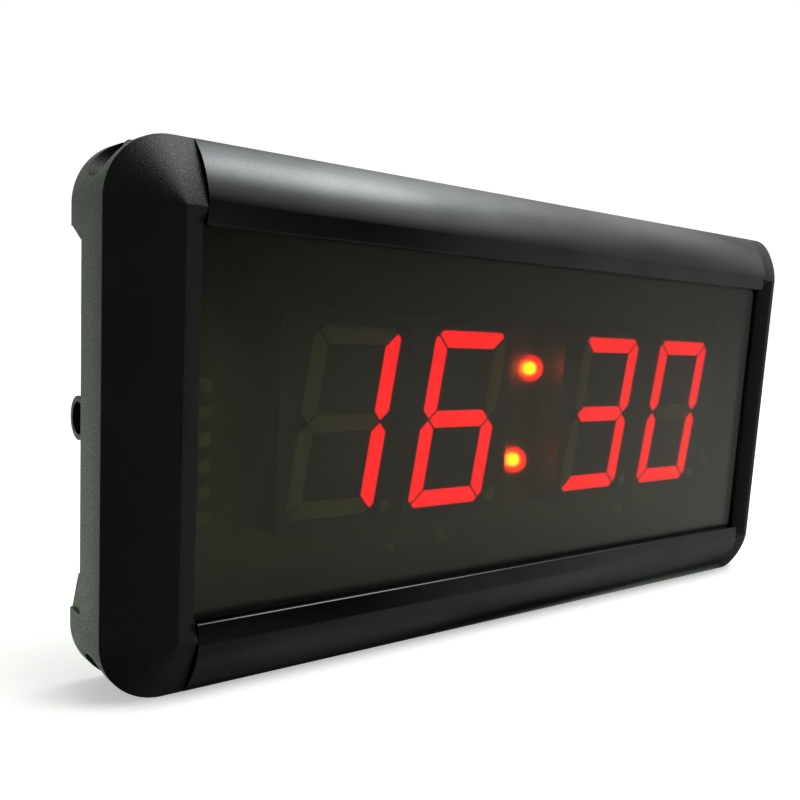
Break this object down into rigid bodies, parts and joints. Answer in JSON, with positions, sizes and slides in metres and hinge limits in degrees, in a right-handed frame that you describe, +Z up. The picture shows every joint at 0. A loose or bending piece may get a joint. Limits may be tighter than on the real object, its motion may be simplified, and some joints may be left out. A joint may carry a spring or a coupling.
{
  "type": "shot clock",
  "caption": "Slim LED digit clock: two curved aluminium rails between moulded end caps, smoked window, slanted digits with a colon, and sprung set buttons on the back.",
  "frame": {"origin": "middle of the underside of the clock's box, where it stands on a table", "axes": "+X along the clock to the right as seen from the front, +Y from the window towards the back, +Z up"},
  "size_m": [0.251, 0.0256, 0.12],
  "materials": {
    "rail": "black anodised, satin",
    "cap": "moulded ABS, spark grain",
    "screw": "zinc plated",
    "window": "smoked acrylic",
    "panel": "fine grained sheet",
    "board": "green solder mask",
    "digit_housing": "printed face",
    "light_guide": "milky epoxy",
    "lamp": "diffused red epoxy",
    "chip": "moulded epoxy",
    "cell": "nickel plated",
    "connector": "white nylon",
    "capacitor": "yellow moulded case",
    "button": "black stem"
  },
  "bodies": {
    "clock": {"top_rail": "rail", "bottom_rail": "rail", "left_end_cap": "cap", "right_end_cap": "cap", "left_upper_cap_screw": "screw", "left_lower_cap_screw": "screw", "right_upper_cap_screw": "screw", "right_lower_cap_screw": "screw", "display_window": "window", "back_panel": "panel", "main_board": "board", "digit_1_housing": "digit_housing", "digit_2_housing": "digit_housing", "digit_3_housing": "digit_housing", "digit_4_housing": "digit_housing", "digit_1_light_guides": "light_guide", "digit_2_light_guides": "light_guide", "digit_3_light_guides": "light_guide", "digit_4_light_guides": "light_guide", "colon_lamp_upper": "lamp", "colon_lamp_lower": "lamp", "infrared_receiver": "chip", "microcontroller": "chip", "segment_driver_left": "chip", "segment_driver_right": "chip", "voltage_regulator": "chip", "buzzer": "chip", "clock_crystal": "cell", "coin_cell": "cell", "coin_cell_holder": "connector", "smoothing_capacitor": "capacitor", "power_connector": "connector", "mode_switch": "chip", "up_switch": "chip", "down_switch": "chip"},
    "mode_button": {"mode_button": "button"},
    "up_button": {"up_button": "button"},
    "down_button": {"down_button": "button"}
  },
  "joints": [
    {"name": "mode_button_press", "type": "slide", "parent": "clock", "child": "mode_button", "axis": [0, -1, 0], "range_m": [0, 0.0003], "stiffness_N_per_m": 1500, "springref_m": -0.0005},
    {"name": "up_button_press", "type": "slide", "parent": "clock", "child": "up_button", "axis": [0, -1, 0], "range_m": [0, 0.0003], "stiffness_N_per_m": 1500, "springref_m": -0.0005},
    {"name": "down_button_press", "type": "slide", "parent": "clock", "child": "down_button", "axis": [0, -1, 0], "range_m": [0, 0.0003], "stiffness_N_per_m": 1500, "springref_m": -0.0005}
  ]
}
